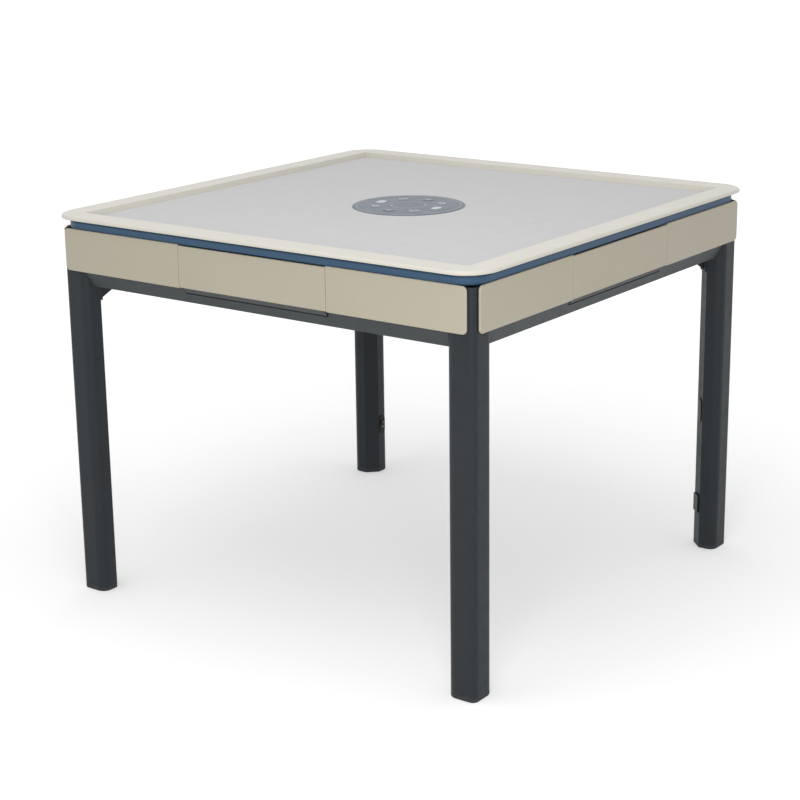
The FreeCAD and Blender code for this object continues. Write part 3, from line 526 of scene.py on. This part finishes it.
class TABLE_OT_cloth(bpy.types.Operator):
    """Lay the playing cloth on the deck, cut out for the tile lifts and the console"""
    bl_idname = "table.cloth"
    bl_label = "Playing cloth"

    def execute(self, context):
        sizes = context.scene.table_sizes
        cloth = felt_sheet("cloth", CLOTH_LOW, CLOTH_HIGH)
        gap = Vector((sizes.slot_gap, sizes.slot_gap, 0))
        slots = [(low - gap, high + gap) for low, high in map(lift_box, SIDES)]
        for low, high in slots:
            for place, normal in ((low, (1, 0, 0)), (high, (1, 0, 0)), (low, (0, 1, 0)), (high, (0, 1, 0))):
                edit(cloth)
                bpy.ops.mesh.bisect(plane_co=place, plane_no=normal)
        edit(cloth, "FACE", lambda centre, normal: any(
            low.x < centre.x < high.x and low.y < centre.y < high.y for low, high in slots))
        bpy.ops.mesh.delete(type="FACE")
        thicken_felt(cloth, sizes)
        apply_modifiers(cloth)
        radius = DISC_HIGH.x + sizes.hole_gap
        self.cut_hole(cloth, radius, sizes)
        round_edges(cloth, sizes.cloth_edge, FELT_EDGE_STEPS)
        apply_modifiers(cloth)
        outward(cloth, FELT_SMOOTH_ANGLE)
        dressed(cloth, felt(context.scene.table_colours.cloth), "frame")
        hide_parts("playing_cloth")
        return {"FINISHED"}

    def cut_hole(self, cloth, radius, sizes):
        """Cuts the round hole for the console, with a cutter that stands out past both faces."""
        deselect()
        bpy.ops.mesh.primitive_cylinder_add(vertices=ROUND_STEPS, radius=radius,
                                            depth=4 * sizes.cloth_thickness, location=(0, 0, CLOTH_HIGH.z))
        cutter = named("console_hole")
        hole = cloth.modifiers.new("console hole", "BOOLEAN")
        hole.operation = "DIFFERENCE"
        hole.object = cutter
        apply_modifiers(cloth)
        bpy.data.objects.remove(cutter)


class TABLE_OT_lift_felts(bpy.types.Operator):
    """Cover each tile lift with a felt strip, flush with the cloth"""
    bl_idname = "table.lift_felts"
    bl_label = "Lift felts"

    def execute(self, context):
        sizes = context.scene.table_sizes
        overhang = Vector((sizes.strip_overhang, sizes.strip_overhang, 0))
        low, high = lift_box(SIDES[0])
        first = felt_sheet("lift_felt", low - overhang, high + overhang)
        edit(first)
        bpy.ops.mesh.subdivide(number_cuts=STRIP_CUTS)
        thicken_felt(first, sizes)
        round_edges(first, sizes.cloth_edge, FELT_EDGE_STEPS)
        apply_modifiers(first)
        outward(first, FELT_SMOOTH_ANGLE)
        for quarter, side in enumerate(SIDES):
            strip = copied(first, "lift_felt_" + side, turn=quarter * math.pi / 2)
            dressed(strip, bpy.data.materials["grey felt"], "lift_" + side)
        bpy.data.objects.remove(first)
        return {"FINISHED"}


def flat_ring(name, radius, width, height, place, turn=(0, 0, 0)):
    """A flat ring of a height, with its underside at a place."""
    deselect()
    bpy.ops.mesh.primitive_circle_add(vertices=ROUND_STEPS, radius=radius, fill_type="NGON")
    ring = named(name)
    edit(ring)
    bpy.ops.mesh.inset(thickness=width)
    bpy.ops.mesh.delete(type="FACE")
    bpy.ops.mesh.select_all(action="SELECT")
    bpy.ops.mesh.extrude_region_move(TRANSFORM_OT_translate={"value": (0, 0, height)})
    outward(ring)
    ring.rotation_euler = turn
    ring.location = place
    place_applied(ring)
    return ring


class TABLE_OT_console_rings(bpy.types.Operator):
    """Inlay the console's outer ring and the ring round its window"""
    bl_idname = "table.console_rings"
    bl_label = "Console rings"

    def execute(self, context):
        sizes = context.scene.table_sizes
        material = gloss_key("console ring", context.scene.table_colours.ring)
        sink = Vector((0, 0, sizes.ring_height))
        height = 2 * sizes.ring_height
        outer = flat_ring("console_outer_ring", DISC_HIGH.x - sizes.outer_ring_inset,
                          sizes.outer_ring_width, height, Vector((0, 0, DISC_HIGH.z)) - sink)
        inner = flat_ring("console_window_ring", WINDOW_HIGH.x + sizes.window_ring_width,
                          sizes.window_ring_width, height, Vector((0, 0, WINDOW_HIGH.z)) - sink)
        for ring in (outer, inner):
            dressed(ring, material, "console")
        return {"FINISHED"}


def key_cap(sizes):
    """The first key: round corners, a soft top edge and a shallow dish."""
    deselect()
    bpy.ops.mesh.primitive_cube_add(size=1.0, location=(KEY_LOW + KEY_HIGH) / 2)
    cap = named("key_cap")
    cap.scale = KEY_HIGH - KEY_LOW
    place_applied(cap)
    edit(cap, "EDGE", lambda centre, along: abs(along.z) > ALONG_AXIS)
    bpy.ops.mesh.bevel(offset=sizes.key_corner, segments=KEY_CORNER_STEPS)
    edit(cap, "FACE", lambda centre, normal: normal.z > ALONG_AXIS)
    bpy.ops.mesh.inset(thickness=sizes.key_border)
    bpy.ops.mesh.inset(thickness=sizes.key_border)
    bpy.ops.transform.translate(value=(0, 0, -sizes.key_dish))
    round_edges(cap, sizes.key_edge, KEY_EDGE_STEPS)
    apply_modifiers(cap)
    outward(cap)
    return cap


def printed_mark(name, radius, place, height, corners, turn=0.0, scale=(1, 1, 1)):
    """A thin mark with a number of corners, with its underside at a place."""
    deselect()
    bpy.ops.mesh.primitive_circle_add(vertices=corners, radius=radius, fill_type="NGON",
                                      rotation=(0, 0, turn))
    mark = named(name)
    place_applied(mark)
    edit(mark)
    bpy.ops.mesh.extrude_region_move(TRANSFORM_OT_translate={"value": (0, 0, height)})
    outward(mark)
    mark.scale = scale
    mark.location = place
    place_applied(mark)
    return mark


def key_marks(sizes):
    """The marks for the first key: an arrow, a pair of dots and a pair of bars."""
    place = Vector(((KEY_LOW.x + KEY_HIGH.x) / 2, 0, KEY_HIGH.z - sizes.key_dish - sizes.mark_height))
    height = 2 * sizes.mark_height
    arrow = printed_mark("arrow", sizes.arrow_radius, place, height, corners=3, turn=-math.pi / 2)
    aside = Vector((0, sizes.mark_pitch / 2, 0))
    dot = printed_mark("dots", sizes.dot_radius, place + aside, height, corners=DOT_STEPS)
    dots = joined([dot, copied(dot, "dots", move=-2 * aside)], "dots")
    # A square with sides of 1, so that its scale is the bar's size.
    half_diagonal = math.sqrt(0.5)
    bar = printed_mark("bars", half_diagonal, place + aside, height, corners=4, turn=math.pi / 4,
                       scale=(sizes.bar_length, sizes.bar_width, 1))
    bars = joined([bar, copied(bar, "bars", move=-2 * aside)], "bars")
    return {"arrow": arrow, "dots": dots, "bars": bars}


class TABLE_OT_keys(bpy.types.Operator):
    """Model the console's keys with dished tops and plain marks"""
    bl_idname = "table.keys"
    bl_label = "Console keys"

    def execute(self, context):
        colours, sizes = context.scene.table_colours, context.scene.table_sizes
        finishes = {"key_white": gloss_key("white key", colours.key_white),
                    "key_grey": gloss_key("grey key", colours.key_grey),
                    "key_slate": gloss_key("slate key", colours.key_slate)}
        dark = gloss_key("dark mark", colours.mark)
        first = key_cap(sizes)
        marks = key_marks(sizes)
        for number in range(1, KEY_COUNT + 1):
            kind = KEY_KINDS[(number - 1) % len(KEY_KINDS)]
            slot = KEY_SLOTS[kind]
            turn = 2 * math.pi * (number - 1) / KEY_COUNT
            body = "key_%d" % number
            cap = copied(first, "key_cap_%d" % number, turn)
            dressed(cap, finishes[slot], body)
            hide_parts("console_key_%d" % number)
            mark = copied(marks[kind], "key_mark_%d" % number, turn)
            if kind == "bars":
                dressed(mark, finishes["key_white"], body)
            else:
                dressed(mark, dark, body)
        for model in (first, *marks.values()):
            bpy.data.objects.remove(model)
        return {"FINISHED"}


class TABLE_OT_dice_pips(bpy.types.Operator):
    """Dot the upper faces of the two dice"""
    bl_idname = "table.dice_pips"
    bl_label = "Dice dots"

    def execute(self, context):
        sizes = context.scene.table_sizes
        middle = (DICE_LOW + DICE_HIGH) / 2
        middle.z = DICE_HIGH.z - sizes.mark_height
        first = printed_mark("dice_dots", sizes.pip_radius, middle, 2 * sizes.mark_height,
                             corners=PIP_STEPS)
        pips = []
        for side, layout in DICE_PIPS.items():
            turned = Quaternion((0, 0, 1), side * sizes.die_turn)
            for across, along in layout:
                step = turned @ Vector((across * sizes.pip_pitch, along * sizes.pip_pitch, 0))
                pips.append(copied(first, "dice_dots", move=step + Vector((side * sizes.die_offset, 0, 0))))
        bpy.data.objects.remove(first)
        dressed(joined(pips, "dice_dots"), bpy.data.materials["dark mark"], "console")
        return {"FINISHED"}


class TABLE_OT_switch_marks(bpy.types.Operator):
    """Print the line and the ring on the rocker switch"""
    bl_idname = "table.switch_marks"
    bl_label = "Switch marks"

    def execute(self, context):
        sizes = context.scene.table_sizes
        middle = (ROCKER_LOW + ROCKER_HIGH) / 2
        # A mark sits in the middle of each half of the rocker and reaches a third of the way to its ends.
        reach = (ROCKER_HIGH.z - ROCKER_LOW.z) / 4
        radius = reach / 3
        depth = sizes.switch_mark_depth
        upper = Vector((ROCKER_HIGH.x - depth, middle.y, middle.z + reach))
        lower = Vector((ROCKER_HIGH.x - depth - sizes.switch_low_sink, middle.y, middle.z - reach))
        deselect()
        bpy.ops.mesh.primitive_cube_add(size=1.0, location=upper + Vector((depth / 2, 0, 0)))
        line = named("switch_line")
        line.scale = (depth, sizes.switch_line_width, 2 * radius)
        place_applied(line)
        edit(line, "EDGE", lambda centre, along: abs(along.x) > ALONG_AXIS)
        bpy.ops.mesh.bevel(offset=sizes.switch_line_width / 3, segments=LINE_CORNER_STEPS)
        outward(line)
        ring = flat_ring("switch_ring", radius, sizes.switch_line_width, 2 * depth, lower,
                         turn=(0, math.pi / 2, 0))
        marks = joined([line, ring], "switch_marks")
        dressed(marks, bpy.data.materials["white key"], "rocker")
        return {"FINISHED"}


def finish_nodes(material, *starts):
    """Gives one material to every frame node whose name starts with one of these words."""
    for name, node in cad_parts.items():
        if name.startswith(starts):
            node.data.materials.clear()
            node.data.materials.append(material)


class TABLE_OT_body_finish(bpy.types.Operator):
    """Finish the rim, panels, trim, legs and cover"""
    bl_idname = "table.body_finish"
    bl_label = "Body finishes"

    def execute(self, context):
        colours = context.scene.table_colours
        finish_nodes(rim_plastic(colours.rim), "top_rim")
        finish_nodes(panel_lacquer(colours.panel), "side_panels", "drawer_front")
        finish_nodes(brushed_trim(colours.trim), "trim_")
        finish_nodes(powder_coat("slate legs", colours.slate, roughness=0.46),
                     "leg_front", "leg_back", "corner_brackets")
        finish_nodes(moulded_plastic("slate cover", colours.cover, roughness=0.5), "bottom_cover")
        finish_nodes(moulded_plastic("console slate", colours.console, roughness=0.4), "console_disc")
        # The dice come before their window, whose name starts with the same word.
        finish_nodes(gloss_key("ivory dice", colours.dice), "dice")
        finish_nodes(smoked_window(colours.window), "dice_window")
        finish_nodes(rubber(colours.foot), "foot_caps")
        black = moulded_plastic("black fittings", colours.fitting, roughness=0.35, Specular_IOR_Level=0.25)
        finish_nodes(black, "mains_gland", "leg_plug", "switch_")
        return {"FINISHED"}


class TABLE_OT_machine_finish(bpy.types.Operator):
    """Finish the trays, lifts and machine inside"""
    bl_idname = "table.machine_finish"
    bl_label = "Machine finishes"

    def execute(self, context):
        colours = context.scene.machine_colours
        finish_nodes(deck_wood(colours.deck), "deck_board")
        finish_nodes(moulded_plastic("dark tray", colours.tray, roughness=0.5), "drawer_tray")
        finish_nodes(moulded_plastic("lift plastic", colours.lift, roughness=0.5), "tile_lift")
        finish_nodes(moulded_plastic("tub plastic", colours.tub, roughness=0.45),
                     "shuffle_tub", "turntable")
        finish_nodes(moulded_plastic("nylon gear", colours.gear, roughness=0.4),
                     "lift_pinion", "shuffle_pinion")
        finish_nodes(plain_steel("bright steel", colours.steel, roughness=0.32),
                     "cover_screws", "drawer_runners", "column_guide", "lift_guide", "lift_screw")
        finish_nodes(powder_coat("primed frame", colours.primer, roughness=0.6),
                     "upper_rails", "lower_frame", "chassis")
        finish_nodes(powder_coat("motor cans", colours.motor, roughness=0.4),
                     "shuffle_motor", "console_motor", "lift_motors")
        finish_nodes(moulded_plastic("circuit board", colours.board, roughness=0.4), "control_board")
        finish_nodes(plain_steel("supply case", colours.supply, roughness=0.4), "power_supply")
        return {"FINISHED"}


def area_lamp(name, place, target, size, watts):
    """A soft square lamp that points at a target."""
    deselect()
    bpy.ops.object.light_add(type="AREA", location=place)
    lamp = named(name)
    lamp.data.size = size
    lamp.data.energy = watts
    lamp.rotation_euler = (Vector(target) - Vector(place)).to_track_quat("-Z", "Y").to_euler()


def seen_directly(tree):
    """One for rays that the camera, a reflection or clear material sends."""
    path = tree.nodes.new("ShaderNodeLightPath")
    seen = path.outputs["Is Camera Ray"]
    for name in ("Is Glossy Ray", "Is Transmission Ray"):
        either = tree.nodes.new("ShaderNodeMath")
        either.operation = "MAXIMUM"
        tree.links.new(seen, either.inputs[0])
        tree.links.new(path.outputs[name], either.inputs[1])
        seen = either.outputs["Value"]
    return seen


class TABLE_OT_stage(bpy.types.Operator):
    """Set the pale floor, the soft lamps and the camera"""
    bl_idname = "table.stage"
    bl_label = "Stage"

    def execute(self, context):
        scene = context.scene
        stage = scene.table_stage
        scene.view_settings.view_transform = "Standard"
        self.lay_floor(stage)
        self.light_sky(scene, stage)
        area_lamp("corner_lamp", stage.corner_place, stage.lamp_aim, stage.corner_size, stage.corner_power)
        area_lamp("top_lamp", stage.top_place, stage.lamp_aim, stage.top_size, stage.top_power)
        scene.camera = self.place_camera(stage)
        return {"FINISHED"}

    def place_camera(self, stage):
        """A camera turned round its target."""
        deselect()
        bpy.ops.object.camera_add()
        camera = named("camera")
        camera.data.lens = stage.lens
        camera.data.sensor_width = stage.sensor
        camera.data.shift_y = stage.shift
        back = Vector((math.sin(stage.azimuth) * math.cos(stage.elevation),
                       -math.cos(stage.azimuth) * math.cos(stage.elevation), math.sin(stage.elevation)))
        camera.location = Vector(stage.target) + back * stage.distance
        camera.rotation_mode = "QUATERNION"
        camera.rotation_quaternion = (-back).to_track_quat("-Z", "Y") @ Quaternion((0, 0, 1), stage.roll)
        return camera

    def lay_floor(self, stage):
        """A wide pale floor that turns white in the camera's view and keeps the table's shadow."""
        deselect()
        bpy.ops.mesh.primitive_plane_add(size=stage.floor_size)
        floor = named("floor")
        finish = Finish("pale floor", stage.floor, roughness=0.9)
        finish.shaded(finish.noise(scale=2.0), spread=0.004)
        reach = finish.tree.nodes.new("ShaderNodeVectorMath")
        reach.operation = "LENGTH"
        finish.link(finish.place, reach.inputs[0])
        lightened = finish.ranged(reach.outputs["Value"], stage.glow_near, stage.glow_far,
                                  stage.glow_start, stage.glow_end)
        glow = finish.tree.nodes.new("ShaderNodeMath")
        glow.operation = "MULTIPLY"
        finish.link(lightened, glow.inputs[0])
        finish.link(seen_directly(finish.tree), glow.inputs[1])
        finish.shader.inputs["Emission Color"].default_value = WHITE
        finish.link(glow.outputs["Value"], finish.shader.inputs["Emission Strength"])
        floor.data.materials.append(finish.material)

    def light_sky(self, scene, stage):
        """An even sky: white where it is seen, softer where it lights."""
        world = bpy.data.worlds.new("studio")
        world.use_nodes = True
        scene.world = world
        tree = world.node_tree
        strength = tree.nodes.new("ShaderNodeMapRange")
        strength.inputs["To Min"].default_value = stage.sky
        tree.links.new(seen_directly(tree), strength.inputs["Value"])
        background = tree.nodes["Background"]
        background.inputs["Color"].default_value = WHITE
        tree.links.new(strength.outputs["Result"], background.inputs["Strength"])


class TABLE_PT_panel(bpy.types.Panel):
    """The steps that dress the table, and their settings"""
    bl_idname = "TABLE_PT_panel"
    bl_label = "Mahjong table"
    bl_space_type = "VIEW_3D"
    bl_region_type = "UI"
    bl_category = "Table"

    def draw(self, context):
        for step in STEPS:
            self.layout.operator(step.bl_idname)
        for group_name, group in GROUPS.items():
            box = self.layout.box()
            for name in group.__annotations__:
                box.prop(getattr(context.scene, group_name), name)


# The order matters, because later steps take up materials that earlier ones make.
STEPS = (TABLE_OT_body_finish, TABLE_OT_machine_finish, TABLE_OT_cloth, TABLE_OT_lift_felts,
         TABLE_OT_console_rings, TABLE_OT_keys, TABLE_OT_dice_pips, TABLE_OT_switch_marks, TABLE_OT_stage)
GROUPS = {"table_colours": TableColours, "machine_colours": MachineColours, "table_sizes": TableSizes,
          "table_stage": StageSettings}


def register():
    """Registers the settings, steps and panel."""
    for name, group in GROUPS.items():
        bpy.utils.register_class(group)
        setattr(bpy.types.Scene, name, PointerProperty(type=group))
    for step in STEPS + (TABLE_PT_panel,):
        bpy.utils.register_class(step)


def unregister():
    """Takes them out again."""
    for step in reversed(STEPS + (TABLE_PT_panel,)):
        bpy.utils.unregister_class(step)
    for name, group in GROUPS.items():
        delattr(bpy.types.Scene, name)
        bpy.utils.unregister_class(group)


def main():
    """Dresses the table step by step."""
    register()
    for step in STEPS:
        category, name = step.bl_idname.split(".")
        getattr(getattr(bpy.ops, category), name)()


if __name__ == "__main__":
    main()
